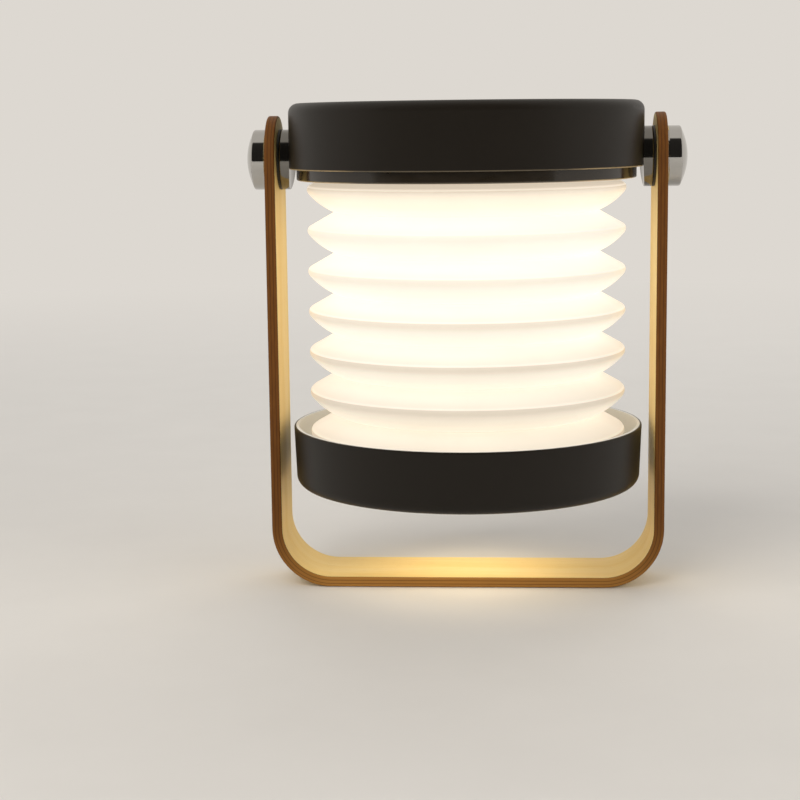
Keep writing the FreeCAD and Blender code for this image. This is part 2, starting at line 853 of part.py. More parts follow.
def make_clamp_ring(label, bottom):
    body = new_body(label)
    revolve(body, "ring", rectangle(clamp_inner, bottom, clamp_outer, bottom + d.clamp_thickness))
    hole = circle_sketch(body, "screw_hole_outline", "XY_Plane",
                         [(clamp_screw_circle, ZERO, clamp_screw_hole)],
                         bottom + d.clamp_thickness)
    first = pocket(body, "screw_hole", hole, d.clamp_thickness)
    ring_pattern(body, "screw_holes", [first], d.clamp_screw_count)
    return body


def make_screws(label, x, y, radius, head, head_level, head_height, shank_level, shank_length, count):
    """A ring of pan-head screws; each is a head and a shank in one."""
    body = new_body(label)
    cap = circle_sketch(body, "head_outline", "XY_Plane", [(x, y, head)], head_level)
    head_pad = pad(body, "head", cap, head_height)
    stem = circle_sketch(body, "shank_outline", "XY_Plane", [(x, y, radius)], shank_level)
    shank_pad = pad(body, "shank", stem, shank_length)
    ring_pattern(body, "screws", [head_pad, shank_pad], count)
    return body


def make_plate_screws():
    spot = plate_screw_spot
    grip = d.ledge_thickness + d.plate_thickness + d.plate_screw_grip
    return make_screws("plate_screws", spot, spot, d.plate_screw_radius, d.plate_screw_head,
                       ledge_bottom - d.plate_screw_head_height, d.plate_screw_head_height,
                       ledge_bottom, grip, d.plate_screw_count)


def make_upper_clamp_screws():
    under = first_valley - d.clamp_thickness
    grip = d.clamp_thickness + d.bellows_lip + d.clamp_screw_grip
    return make_screws("upper_clamp_screws", clamp_screw_circle, ZERO, d.clamp_screw_radius,
                       d.clamp_screw_head, under - d.clamp_screw_head_height, d.clamp_screw_head_height,
                       under, grip, d.clamp_screw_count)


def make_lower_clamp_screws():
    over = lower_clamp_level + d.clamp_thickness
    foot = cup_floor_level - d.clamp_screw_grip
    return make_screws("lower_clamp_screws", clamp_screw_circle, ZERO, d.clamp_screw_radius,
                       d.clamp_screw_head, over, d.clamp_screw_head_height,
                       foot, over - foot, d.clamp_screw_count)


def make_cup():
    """A shallow cup with a little draft, closed over the folded bellows, with a round window in its floor."""
    body = new_body("cup")
    foot = rim_radius - d.cup_taper
    inner_foot = foot - d.cup_wall
    revolve(body, "cup_wall", [
        line_to(window_radius, cup_bottom),
        line_to(foot - d.cup_round, cup_bottom),
        arc_to(foot, cup_bottom + d.cup_round, d.cup_round, 1),
        line_to(rim_radius, rim_level - d.rim_edge),
        arc_to(rim_radius - d.rim_edge, rim_level, d.rim_edge, 1),
        line_to(rim_inner, rim_level),
        line_to(inner_foot, cup_floor_level + d.cup_floor),
        arc_to(inner_foot - d.cup_floor, cup_floor_level, d.cup_floor, -1),
        line_to(window_radius, cup_floor_level),
    ])
    hole = circle_sketch(body, "pilot_outline", "XY_Plane",
                         [(clamp_screw_circle, ZERO, clamp_screw_hole)], cup_floor_level)
    pilot = pocket(body, "pilot", hole, d.clamp_screw_grip + d.fit_clearance)
    ring_pattern(body, "pilots", [pilot], d.clamp_screw_count)
    return body


def make_reflector_disc():
    """A translucent disc that fills the cup's window: it turns some light back and lets the rest down."""
    body = new_body("reflector_disc")
    face = cup_bottom + d.window_recess
    plug = window_radius - d.fit_clearance
    top = cup_floor_level + d.reflector_thickness
    revolve(body, "stepped_disc", [
        line_to(ZERO, face),
        line_to(plug, face),
        line_to(plug, cup_floor_level),
        line_to(reflector_radius, cup_floor_level),
        line_to(reflector_radius, top),
        line_to(ZERO, top),
    ])
    return body


pieces = [make_handle(), make_top_housing(), make_closing_ring(), make_lamp_plate(), make_touch_pad(),
          make_touch_contact(), make_led_board(), make_leds(), make_control_board(), make_battery(),
          make_usb_socket(), make_bellows(),
          make_clamp_ring("upper_clamp_ring", first_valley - d.clamp_thickness),
          make_clamp_ring("lower_clamp_ring", lower_clamp_level),
          make_plate_screws(), make_upper_clamp_screws(), make_lower_clamp_screws(),
          make_cup(), make_reflector_disc()]
for hand in (LEFT, RIGHT):
    for make_pivot_piece in (make_pivot_bush, make_pivot_bolt, make_pivot_insert,
                             make_friction_washer, make_spacer, make_knob):
        pieces.append(make_pivot_piece(hand))

doc.recompute()
for item in doc.Objects:
    if "Invalid" in item.State or "Error" in item.State:
        raise RuntimeError(f"{item.Label} did not build: {item.State}")
for piece in pieces:
    if piece.Shape.isNull() or not piece.Shape.isValid():
        raise RuntimeError(f"{piece.Label} has no valid shape")

os.makedirs("parts", exist_ok=True)
for piece in pieces:
    piece.Shape.exportStep(f"parts/{piece.Label}.step")
    box = piece.Shape.BoundBox
    print(f"{piece.Label}: {len(piece.Shape.Solids)} solids, {piece.Shape.Volume:.1f} mm3, "
          f"z {box.ZMin:.2f} to {box.ZMax:.2f}")
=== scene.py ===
import json
import math

import bmesh
import bpy
from mathutils import Matrix, Vector


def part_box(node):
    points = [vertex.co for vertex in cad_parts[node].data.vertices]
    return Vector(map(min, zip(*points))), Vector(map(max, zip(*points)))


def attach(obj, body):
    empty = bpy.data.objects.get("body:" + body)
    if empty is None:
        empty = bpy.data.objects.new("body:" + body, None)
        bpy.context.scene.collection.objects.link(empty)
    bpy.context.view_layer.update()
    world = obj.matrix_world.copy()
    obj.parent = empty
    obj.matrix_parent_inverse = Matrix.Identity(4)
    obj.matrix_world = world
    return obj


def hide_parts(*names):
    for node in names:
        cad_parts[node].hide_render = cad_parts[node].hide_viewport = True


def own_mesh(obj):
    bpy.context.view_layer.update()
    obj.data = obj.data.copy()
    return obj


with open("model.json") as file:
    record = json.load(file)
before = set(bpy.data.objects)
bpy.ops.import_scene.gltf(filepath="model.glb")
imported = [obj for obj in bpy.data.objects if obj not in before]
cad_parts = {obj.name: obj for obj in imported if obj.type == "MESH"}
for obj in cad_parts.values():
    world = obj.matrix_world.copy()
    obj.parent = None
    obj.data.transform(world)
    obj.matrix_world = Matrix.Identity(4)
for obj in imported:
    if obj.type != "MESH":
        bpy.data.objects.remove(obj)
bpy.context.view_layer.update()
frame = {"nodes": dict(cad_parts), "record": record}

# Folding lantern lamp: its finishes, the pleated glowing shade, the layered wooden strip
# and the studio around them. All lengths are in metres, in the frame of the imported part.

NODES = frame["nodes"]
MM = 0.001


def colour(red, green, blue):
    """A screen colour, 0 to 255, as the linear colour that shaders use."""
    def linear(part):
        share = part / 255
        return share / 12.92 if share <= 0.04045 else ((share + 0.055) / 1.055) ** 2.4
    return (linear(red), linear(green), linear(blue), 1.0)


# Camera of the photographed view, for a square picture
CAMERA_PLACE = Vector((14.7, -560.0, 144.7)) * MM
CAMERA_YAW = math.radians(-3.69)
CAMERA_PITCH = math.radians(-8.81)
CAMERA_ROLL = math.radians(-0.65)
FOCAL_SHARE = 2.2286
SENSOR_WIDTH = 36.0
CAMERA_NEAR = 0.01

# Pleated shade: a pleat has a straight upper flank, a bead along its crest and a full lower flank
PLEATS = 7
PLEAT_ROWS = 28
PLEAT_SEGMENTS = 180
PLEAT_DEPTH = 8.4 * MM
CREST_PLACE = 0.45
BEAD_RADIUS = 1.7 * MM
BEAD_TURNS = (70, 50, 30, 15, 0, -15, -30)
FLANK_RADIUS = 20.0 * MM
FLANK_SHARES = (0.2, 0.4, 0.6, 0.8)
SHADE_LIP = 1.0 * MM
SHADE_LIP_WIDTH = 4.0 * MM
SHADE_CUFF = 7.83 * MM
SHADE_WALL = 0.7 * MM
SHADE_CREASE = 50
SHADE_SEAM = 0.01 * MM
CREST_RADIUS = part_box("bellows")[1].x
VALLEY_RADIUS = CREST_RADIUS - PLEAT_DEPTH
SHADE_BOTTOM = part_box("bellows")[0].z
SHADE_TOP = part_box("bellows")[1].z
FIRST_VALLEY = SHADE_TOP - SHADE_LIP
PLEATED_HEIGHT = FIRST_VALLEY - SHADE_BOTTOM - SHADE_CUFF
PLEAT_PITCH = PLEATED_HEIGHT / PLEATS

# Moulded sway of the pleats: how far, how many to a radius, and how fast it changes down the shade
SHADE_WOBBLE = 0.12 * MM
WOBBLE_SCALE = 1.3
WOBBLE_DRIFT = 0.8

# Rows of a pleat are closest round its bead: share of the rows, share of the pitch
FLANK_ROWS, BEAD_END_ROW, BEAD_END_PLACE = 8, 20, 0.56
SHOULDER_PLACE = CREST_PLACE - BEAD_RADIUS * math.sin(math.radians(BEAD_TURNS[0])) / PLEAT_PITCH
ROW_SPACING = ((0.0, 0.0), (FLANK_ROWS / PLEAT_ROWS, SHOULDER_PLACE),
               (BEAD_END_ROW / PLEAT_ROWS, BEAD_END_PLACE), (1.0, 1.0))
ROW_NUDGE = 0.0001

# Beige glow along a pleat: the shade's light deepens towards a thin bright line, is strongest on the bead and
# fades below it
BEAD_TINT = ((0.0, 0.0), (0.12, 0.2), (0.34, 0.5), (0.36, 0.1), (0.385, 0.1), (0.4, 1.0), (0.47, 0.85),
             (0.55, 0.4), (0.66, 0.08), (0.8, 0.0), (1.0, 0.0))

# Light of the shade from its top, 0, to its cuff, 1: how much its beads show, how warm its ends are and
# how bright it is; then the brightness of its valleys and of its beads
BEADS_SHOWN = ((0.0, 0.9), (0.11, 0.7), (0.17, 0.25), (0.3, 0.3), (0.5, 0.7), (0.68, 0.95), (1.0, 1.0))
END_WARMTH = ((0.0, 0.75), (0.1, 0.6), (0.17, 0.1), (0.5, 0.15), (1.0, 0.6))
GLOW_ALONG = ((0.0, 0.54), (0.04, 0.57), (0.064, 0.6), (0.11, 0.5), (0.2, 0.49), (0.5, 0.49), (0.8, 0.42),
              (0.96, 0.42), (1.0, 0.29))
VALLEY_GLOW, BEAD_GLOW = 1.3, 0.64
SHADE_BASE, SHADE_PALE = colour(186, 180, 168), colour(194, 189, 178)
SHADE_WHITE, SHADE_CREAM = colour(255, 250, 238), colour(255, 230, 198)

# Lit window in the cup's floor: brightness in the middle and at the edge
WINDOW_GLOW, WINDOW_EDGE_GLOW = 2.4, 1.7
WINDOW_BASE, WINDOW_PALE = colour(196, 191, 180), colour(206, 201, 191)
WINDOW_CREAM, WINDOW_WHITE = colour(255, 238, 208), colour(255, 243, 220)

# Dark shells; the cup's wall leans in below its rim, and within its outer skin it is painted pale grey, as
# lit by the shade
SHELL_BASE, SHELL_DEEP = colour(29, 24, 18), colour(25, 21, 15)
SHELL_SHINE = 0.25
SHELL_GRAIN_HEIGHT = 0.012 * MM
CLOUD_SCALE = 45.0
GLOSS_CLOUD = 0.05
CUP_TAPER = 0.045
CUP_SKIN_INNER, CUP_SKIN_OUTER = 0.7 * MM, 0.55 * MM
CUP_FLOOR = 1.6 * MM
CUP_ROUGHNESS = (0.38, 0.48)
CUP_GRAIN_SCALE = 3500.0
CUP_PAINTED_LIT, CUP_PAINTED_LIT_PALER = colour(222, 222, 216), colour(231, 231, 226)

# Painted reflection of the lit shade round a shell's lower lip, a bronze-toned line; it is dull at front and
# back and bright towards the pivots
LIP_GLINT, LIP_GLINT_DULL = colour(172, 150, 112), colour(98, 88, 70)
GLINT_DULL_TO, GLINT_BRIGHT_FROM = 30.0 * MM, 37.0 * MM
LIP_HEIGHT, LIP_FADE, LIP_WIDTH = 0.42 * MM, 0.2 * MM, 0.7 * MM

# Wooden strip: faces that aren't square to its thickness are cut edges, painted paler along the foot, where
# light from the floor falls on them
STRIP_THICKNESS = 3.2 * MM
STRIP_BEND = 15.5 * MM
STRIP_LAYERS = 3
STRIP_CREASE = 35
FACE_SQUARENESS = 0.97
CAD_SEAM = 0.001 * MM
WOOD_FACE, WOOD_EDGE = 0, 1
FLOOR_LIT_TO, BROWN_FROM, FLOOR_LIT_MOST = 36.0 * MM, 76.0 * MM, 0.75
GLUE_HALF, GLUE_STRENGTH = 0.17, 0.75
PORES_FROM, PORES_FULL, PORE_STRENGTH = 0.62, 0.72, 0.35
FACE_SHINE, EDGE_SHINE = 0.25, 0.2
VENEER_DEEP, VENEER_MID, VENEER_PALE = colour(238, 204, 122), colour(247, 219, 148), colour(252, 230, 172)
VENEER_STREAK, VENEER_PORE = colour(218, 178, 92), colour(160, 108, 44)
EDGE_DARK, EDGE_BROWN, EDGE_FLOOR_LIT = colour(82, 46, 13), colour(128, 80, 29), colour(186, 132, 62)
GLUE_LINE = colour(52, 28, 9)

# Patterns in the wood to a metre along the strip, across it and through it
VENEER_BROAD = (9.0, 110.0, 30.0)
VENEER_FIBRES = (45.0, 2200.0, 200.0)
VENEER_PORES = (190.0, 5200.0, 400.0)
LAYER_WANDER = (25.0, 25.0, 0.0)
EDGE_FIBRES = (160.0, 900.0, 2600.0)

# Studio: softboxes are a name, a place, a size, a power and a tint
PALE = colour(221, 216, 209)
AMBIENT = colour(150, 150, 152)
FLOOR_SIZE = 12.0
FLOOR_CORNERS = 96
FLOOR_DROP = 0.05 * MM
FLOOR_GREY, FLOOR_PALE = colour(222, 218, 211), colour(227, 223, 216)
FADE_START, FADE_END = 0.25, 1.1
WALL_PLACE, WALL_REACH, WALL_HEIGHT = -1.4, 2.5, 5.0
WALL_PALE_FROM = 0.65
CLOTH_BASE, CLOTH_DARK, CLOTH_LIGHT = colour(12, 11, 10), colour(20, 18, 16), colour(28, 25, 22)
LIT_POINT = Vector((0.0, 0.0, 0.08))
SOFTBOXES = (("key", (-0.55, -0.75, 0.85), (1.0, 1.0), 9.0, (1.0, 0.97, 0.93)),
             ("fill", (0.9, -0.5, 0.4), (0.9, 0.9), 4.0, (1.0, 0.98, 0.95)),
             ("back", (0.1, 0.9, 0.8), (1.2, 0.8), 5.0, (1.0, 1.0, 1.0)))


def feed(tree, target, value):
    """Links another socket to the target, or sets the target to a plain value."""
    if isinstance(value, bpy.types.NodeSocket):
        tree.links.new(value, target)
    else:
        target.default_value = value


def add_node(tree, kind, settings=None, **values):
    """A node with its settings made and its named inputs either set or linked."""
    node = tree.nodes.new(kind)
    for name, value in (settings or {}).items():
        setattr(node, name, value)
    for name, value in values.items():
        spoken = name.replace("_", " ")
        feed(tree, next(item for item in node.inputs if item.name == spoken and item.enabled), value)
    return node


def math_node(tree, operation, *values):
    """The result of one arithmetic step on numbers or sockets."""
    node = tree.nodes.new("ShaderNodeMath")
    node.operation = operation
    for target, value in zip(node.inputs, values):
        feed(tree, target, value)
    return node.outputs[0]


def plus(tree, first, second):
    return math_node(tree, "ADD", first, second)


def minus(tree, first, second):
    return math_node(tree, "SUBTRACT", first, second)


def times(tree, first, second):
    return math_node(tree, "MULTIPLY", first, second)


def split(tree, vector):
    """The three parts of a vector."""
    return add_node(tree, "ShaderNodeSeparateXYZ", Vector=vector).outputs


def between(tree, value, start, end, at_start=0.0, at_end=1.0, soft=False):
    """A level that changes while the value goes from start to end, evenly or softly."""
    settings = {"interpolation_type": "SMOOTHSTEP"} if soft else {}
    return add_node(tree, "ShaderNodeMapRange", settings, Value=value, From_Min=start, From_Max=end,
                    To_Min=at_start, To_Max=at_end).outputs[0]


def spread(tree, factor, low, high):
    """A 0 to 1 pattern moved to the range low to high."""
    return between(tree, factor, 0.0, 1.0, low, high)


def mix_colours(tree, factor, first, second):
    """A colour between the first, at factor 0, and the second, at 1."""
    node = tree.nodes.new("ShaderNodeMix")
    node.data_type = "RGBA"
    for number, value in ((0, factor), (6, first), (7, second)):
        feed(tree, node.inputs[number], value)
    return node.outputs[2]


def ramp(tree, factor, *stops):
    """Colours along a factor; each stop is a position and a colour."""
    node = tree.nodes.new("ShaderNodeValToRGB")
    elements = node.color_ramp.elements
    while len(elements) < len(stops):
        elements.new(0.5)
    for element, (position, shade) in zip(elements, stops):
        element.position = position
        element.color = shade
    feed(tree, node.inputs[0], factor)
    return node.outputs[0]


def levels(tree, factor, stops):
    """Levels along a factor; each stop is a position and a level."""
    return ramp(tree, factor, *((position, (level, level, level, 1.0)) for position, level in stops))


def drawn_curve(tree, factor, points, corners):
    """A factor read through a curve drawn by its points; the numbered ones are sharp corners."""
    node = tree.nodes.new("ShaderNodeFloatCurve")
    knots = node.mapping.curves[0].points
    while len(knots) < len(points):
        knots.new(0.5, 0.5)
    for number, (knot, place) in enumerate(zip(knots, points)):
        knot.location = place
        knot.handle_type = "VECTOR" if number in corners else "AUTO"
    node.mapping.update()
    feed(tree, node.inputs["Value"], factor)
    return node.outputs[0]


def object_place(tree):
    return add_node(tree, "ShaderNodeTexCoord").outputs["Object"]


def own_attribute(tree, name, output):
    """What the piece's mesh stores under that name."""
    return add_node(tree, "ShaderNodeAttribute", {"attribute_name": name}).outputs[output]


def noise(tree, vector, scale, detail=3.0, roughness=0.55):
    return add_node(tree, "ShaderNodeTexNoise", Vector=vector, Scale=scale, Detail=detail,
                    Roughness=roughness).outputs[0]


def streaks(tree, vector, stretch, scale=1.0, **settings):
    """Noise drawn out by a different amount each way."""
    stretched = add_node(tree, "ShaderNodeMapping", Vector=vector, Scale=stretch).outputs[0]
    return noise(tree, stretched, scale, **settings)


def axis_radius(tree, place):
    """A place's distance from the lamp's upright axis."""
    x, y, _ = split(tree, place)
    return math_node(tree, "POWER", plus(tree, times(tree, x, x), times(tree, y, y)), 0.5)


def new_finish(name):
    material = bpy.data.materials.new(name)
    material.use_nodes = True
    return material, material.node_tree, material.node_tree.nodes["Principled BSDF"]


def paint(tree, shader, **values):
    """Sets or links the shader's named inputs."""
    for name, value in values.items():
        feed(tree, shader.inputs[name.replace("_", " ")], value)


def raise_surface(tree, shader, height, distance):
    """Lets a pattern stand out of the surface by a distance."""
    bump = add_node(tree, "ShaderNodeBump", Height=height, Distance=distance, Strength=1.0)
    paint(tree, shader, Normal=bump.outputs[0])


def painted_glint_lip(tree, place, tint, node):
    """The tint, with a bronze-toned line round the node's lower outer lip: a painted reflection of the lit
    shade.
    """
    low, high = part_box(node)
    x, _, z = split(tree, place)
    level = low.z + LIP_HEIGHT
    below = between(tree, z, level - LIP_FADE, level, 1.0, 0.0)
    outside = math_node(tree, "GREATER_THAN", axis_radius(tree, place), high.y - LIP_WIDTH)
    painted_light_share = between(tree, math_node(tree, "ABSOLUTE", x), GLINT_DULL_TO, GLINT_BRIGHT_FROM)
    bronze = mix_colours(tree, painted_light_share, LIP_GLINT_DULL, LIP_GLINT)
    return mix_colours(tree, times(tree, below, outside), tint, bronze)


def moulded_finish(name, base, deep, roughness, grain_size, grain_height, shine=0.5, lip_of=None):
    """Moulded plastic: a fine even grain, a little cloudiness in colour and in gloss."""
    material, tree, shader = new_finish(name)
    place = object_place(tree)
    cloud = noise(tree, place, CLOUD_SCALE)
    tint = mix_colours(tree, cloud, deep, base)
    if lip_of:
        tint = painted_glint_lip(tree, place, tint, lip_of)
    paint(tree, shader, Base_Color=tint, Specular_IOR_Level=shine,
          Roughness=spread(tree, cloud, roughness - GLOSS_CLOUD, roughness + GLOSS_CLOUD))
    raise_surface(tree, shader, noise(tree, place, 1.0 / grain_size, detail=2.0), grain_height)
    return material


def cup_finish():
    """Dark satin outside; the rim and the wall that faces the shade are painted pale grey, as lit by the
    shade.
    """
    material, tree, shader = new_finish("cup_satin")
    place = object_place(tree)
    level = split(tree, place)[2]
    low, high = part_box("cup")
    lean = times(tree, minus(tree, high.z, level), CUP_TAPER)
    flared = plus(tree, axis_radius(tree, place), lean)
    lit_inner_wall = between(tree, flared, high.x - CUP_SKIN_INNER, high.x - CUP_SKIN_OUTER, 1.0, 0.0)
    above_floor = math_node(tree, "GREATER_THAN", level, low.z + CUP_FLOOR)
    cloud = noise(tree, place, CLOUD_SCALE)
    dark = mix_colours(tree, cloud, SHELL_DEEP, SHELL_BASE)
    pale = mix_colours(tree, cloud, CUP_PAINTED_LIT, CUP_PAINTED_LIT_PALER)
    paint(tree, shader, Base_Color=mix_colours(tree, times(tree, lit_inner_wall, above_floor), dark, pale),
          Roughness=spread(tree, cloud, *CUP_ROUGHNESS), Specular_IOR_Level=SHELL_SHINE)
    raise_surface(tree, shader, noise(tree, place, CUP_GRAIN_SCALE, detail=2.0), SHELL_GRAIN_HEIGHT)
    return material


def polished_finish(name, base, roughness, metallic=0.0, lip_of=None):
    """A polished surface with faint wiping marks in its gloss."""
    material, tree, shader = new_finish(name)
    place = object_place(tree)
    marks = streaks(tree, place, (1.0, 1.0, 3.0), scale=160.0, detail=5.0)
    paler = tuple(min(1.0, part * 1.12 + 0.004) for part in base[:3]) + (1.0,)
    tint = mix_colours(tree, marks, base, paler)
    if lip_of:
        tint = painted_glint_lip(tree, place, tint, lip_of)
    paint(tree, shader, Base_Color=tint, Metallic=metallic,
          Roughness=spread(tree, marks, roughness * 0.6, roughness * 1.5))
    return material


def turned_metal_finish(name, base, roughness):
    """Turned or drawn metal: fine lines round or along the piece."""
    material, tree, shader = new_finish(name)
    lines = streaks(tree, object_place(tree), (4000.0, 300.0, 300.0), detail=2.0)
    darker = tuple(part * 0.8 for part in base[:3]) + (1.0,)
    paint(tree, shader, Base_Color=mix_colours(tree, lines, darker, base), Metallic=1.0,
          Roughness=spread(tree, lines, roughness - 0.08, roughness + 0.08))
    raise_surface(tree, shader, lines, 0.005 * MM)
    return material


def board_finish(name, base, trace):
    """A circuit board: solder mask over faint copper tracks."""
    material, tree, shader = new_finish(name)
    place = object_place(tree)
    tracks = add_node(tree, "ShaderNodeTexBrick", Vector=place, Scale=180.0, Mortar_Size=0.04, Color1=base,
                      Color2=base, Mortar=trace).outputs[0]
    paint(tree, shader, Base_Color=mix_colours(tree, noise(tree, place, 90.0), base, tracks), Roughness=0.35)
    return material


def emitter_finish():
    """Yellow phosphor, lit."""
    material, tree, shader = new_finish("phosphor")
    grain = noise(tree, object_place(tree), 2500.0)
    tint = mix_colours(tree, grain, colour(245, 206, 110), colour(255, 228, 150))
    paint(tree, shader, Base_Color=tint, Emission_Color=tint, Emission_Strength=2.0)
    return material


def shade_finish():
    """Translucent sleeve, lit from inside: brightest in its valleys, creamier on its beads and ends."""
    material, tree, shader = new_finish("lit_shade")
    drop = own_attribute(tree, "drop", "Fac")
    cloud = noise(tree, object_place(tree), 60.0)
    bead = times(tree, own_attribute(tree, "bead", "Fac"), levels(tree, drop, BEADS_SHOWN))
    warmth = math_node(tree, "MAXIMUM", bead, levels(tree, drop, END_WARMTH))
    across = spread(tree, bead, VALLEY_GLOW, BEAD_GLOW)
    glow = times(tree, across, levels(tree, drop, GLOW_ALONG))
    paint(tree, shader, Base_Color=mix_colours(tree, cloud, SHADE_BASE, SHADE_PALE), Roughness=0.42,
          Emission_Color=mix_colours(tree, warmth, SHADE_WHITE, SHADE_CREAM),
          Emission_Strength=times(tree, glow, spread(tree, cloud, 0.97, 1.03)))
    return material


def window_finish():
    """Frosted disc in the cup's floor, lit from inside and fading a little towards its edge."""
    material, tree, shader = new_finish("lit_window")
    place = object_place(tree)
    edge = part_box("reflector_disc")[1].x
    frost = noise(tree, place, 900.0, detail=2.0)
    paint(tree, shader, Base_Color=mix_colours(tree, frost, WINDOW_BASE, WINDOW_PALE),
          Roughness=spread(tree, frost, 0.5, 0.6),
          Emission_Color=mix_colours(tree, frost, WINDOW_CREAM, WINDOW_WHITE),
          Emission_Strength=between(tree, axis_radius(tree, place), 0.0, edge, WINDOW_GLOW, WINDOW_EDGE_GLOW))
    raise_surface(tree, shader, frost, 0.01 * MM)
    return material


def wood_face_finish():
    """Lacquered face veneer with its fibres along the strip."""
    material, tree, shader = new_finish("veneer")
    place = own_attribute(tree, "strip_place", "Vector")
    broad = streaks(tree, place, VENEER_BROAD, detail=4.0)
    fibre = streaks(tree, place, VENEER_FIBRES, detail=5.0, roughness=0.65)
    pores = between(tree, streaks(tree, place, VENEER_PORES, detail=2.0), PORES_FROM, PORES_FULL)
    golden = ramp(tree, broad, (0.25, VENEER_DEEP), (0.5, VENEER_MID), (0.75, VENEER_PALE))
    streaked = mix_colours(tree, spread(tree, fibre, 0.0, 0.5), golden, VENEER_STREAK)
    pored = mix_colours(tree, times(tree, pores, PORE_STRENGTH), streaked, VENEER_PORE)
    paint(tree, shader, Base_Color=pored, Roughness=spread(tree, fibre, 0.48, 0.62),
          Specular_IOR_Level=FACE_SHINE)
    raise_surface(tree, shader, fibre, 0.02 * MM)
    return material


def wood_edge_finish():
    """Cut edge: browned layers with darker glue lines, and paler along the foot, where light from the floor
    is painted on.
    """
    material, tree, shader = new_finish("layered_edge")
    place = own_attribute(tree, "strip_place", "Vector")
    along, _, through = split(tree, place)
    wander = spread(tree, streaks(tree, place, LAYER_WANDER), -0.05, 0.05)
    layer = plus(tree, times(tree, through, STRIP_LAYERS / STRIP_THICKNESS), wander)
    in_layer = math_node(tree, "FRACT", layer)
    fibre = streaks(tree, place, EDGE_FIBRES, detail=4.0)
    brown = mix_colours(tree, fibre, EDGE_DARK, EDGE_BROWN)
    reach = math_node(tree, "ABSOLUTE", along)
    painted_light_share = between(tree, reach, FLOOR_LIT_TO, BROWN_FROM, FLOOR_LIT_MOST, 0.0, soft=True)
    brown = mix_colours(tree, painted_light_share, brown, EDGE_FLOOR_LIT)
    glue = levels(tree, in_layer, ((0.0, 1.0), (GLUE_HALF, 0.0), (1.0 - GLUE_HALF, 0.0), (1.0, 1.0)))
    paint(tree, shader, Base_Color=mix_colours(tree, times(tree, glue, GLUE_STRENGTH), brown, GLUE_LINE),
          Roughness=spread(tree, fibre, 0.5, 0.66), Specular_IOR_Level=EDGE_SHINE)
    raise_surface(tree, shader, fibre, 0.03 * MM)
    return material


def make_finishes():
    """The finishes of the material slots whose nodes stay as they are imported."""
    # The top housing and the closing ring get the painted reflection of the lit shade round their lower lips
    return {
        "dark_shell": moulded_finish("satin_shell", SHELL_BASE, SHELL_DEEP, roughness=0.42,
                                     grain_size=0.28 * MM, grain_height=SHELL_GRAIN_HEIGHT,
                                     shine=SHELL_SHINE, lip_of="top_housing"),
        "dark_gloss": polished_finish("gloss_dark", colour(36, 29, 19), roughness=0.14,
                                      lip_of="closing_ring"),
        "white_plastic": moulded_finish("white_plastic", colour(236, 234, 228), colour(225, 222, 214),
                                        roughness=0.45, grain_size=0.3 * MM, grain_height=0.01 * MM),
        "polished_chrome": polished_finish("chrome", colour(180, 178, 174), roughness=0.05, metallic=1.0),
        "steel": turned_metal_finish("bright_steel", colour(205, 205, 208), roughness=0.28),
        "brass": turned_metal_finish("turned_brass", colour(214, 178, 104), roughness=0.3),
        "nylon": moulded_finish("black_nylon", colour(36, 33, 29), colour(29, 26, 23), roughness=0.4,
                                grain_size=0.3 * MM, grain_height=0.01 * MM),
        "touch_metal": moulded_finish("touch_satin", colour(84, 74, 64), colour(74, 65, 56), roughness=0.3,
                                      grain_size=0.2 * MM, grain_height=0.006 * MM),
        "light_board": board_finish("white_board", colour(238, 238, 236), colour(222, 222, 218)),
        "circuit_board": board_finish("green_board", colour(24, 86, 50), colour(40, 112, 66)),
        "cell_wrap": moulded_finish("foil_pouch", colour(176, 180, 186), colour(150, 154, 162), roughness=0.3,
                                    grain_size=1.2 * MM, grain_height=0.05 * MM),
        "emitter": emitter_finish(),
    }


def dress_nodes():
    """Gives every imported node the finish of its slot, and a few nodes their own."""
    finishes = make_finishes()
    for part in frame["record"]["subparts"]:
        finish = finishes.get(part["material_slot"])
        if finish:
            NODES[part["node"]].material_slots[0].material = finish
    # Spacers: a darker copy of the chrome, whose darkness is painted shade where they sit recessed between
    # housing and leg
    spacer_chrome = polished_finish("spacer_chrome", colour(118, 115, 110), roughness=0.1, metallic=1.0)
    for node, finish in (("cup", cup_finish()), ("reflector_disc", window_finish()),
                         ("spacer_left", spacer_chrome), ("spacer_right", spacer_chrome)):
        NODES[node].material_slots[0].material = finish


def link_object(name, data):
    """A new object in the scene for a mesh, a light or a camera."""
    piece = bpy.data.objects.new(name, data)
    bpy.context.scene.collection.objects.link(piece)
    return piece


def settle_mesh(piece):
    """Works the piece's modifiers into its mesh."""
    graph = bpy.context.evaluated_depsgraph_get()
    mesh = bpy.data.meshes.new_from_object(piece.evaluated_get(graph))
    piece.modifiers.clear()
    piece.data = mesh


def smooth_with_creases(mesh, crease_degrees):
    """Smooth shading, with edges kept sharp where faces meet at more than the crease angle."""
    for face in mesh.polygons:
        face.use_smooth = True
    mesh.set_sharp_from_angle(angle=math.radians(crease_degrees))


def pleat_section():
    """One pleat from a valley to the next below it, as shares of the pitch and of the depth."""
    section = [(0.0, 0.0)]
    for degrees in BEAD_TURNS:
        turn = math.radians(degrees)
        section.append((CREST_PLACE - BEAD_RADIUS * math.sin(turn) / PLEAT_PITCH,
                        1 - BEAD_RADIUS * (1 - math.cos(turn)) / PLEAT_DEPTH))
    nose = Vector((section[-1][1] * PLEAT_DEPTH, -section[-1][0] * PLEAT_PITCH))
    valley = Vector((0.0, -PLEAT_PITCH))
    chord = valley - nose
    bulge = FLANK_RADIUS - math.sqrt(FLANK_RADIUS ** 2 - chord.length_squared / 4)
    outward = Vector((-chord.y, chord.x)).normalized()
    for share in FLANK_SHARES:
        point = nose + chord * share + outward * bulge * 4 * share * (1 - share)
        section.append((-point.y / PLEAT_PITCH, point.x / PLEAT_DEPTH))
    return section + [(1.0, 0.0)]


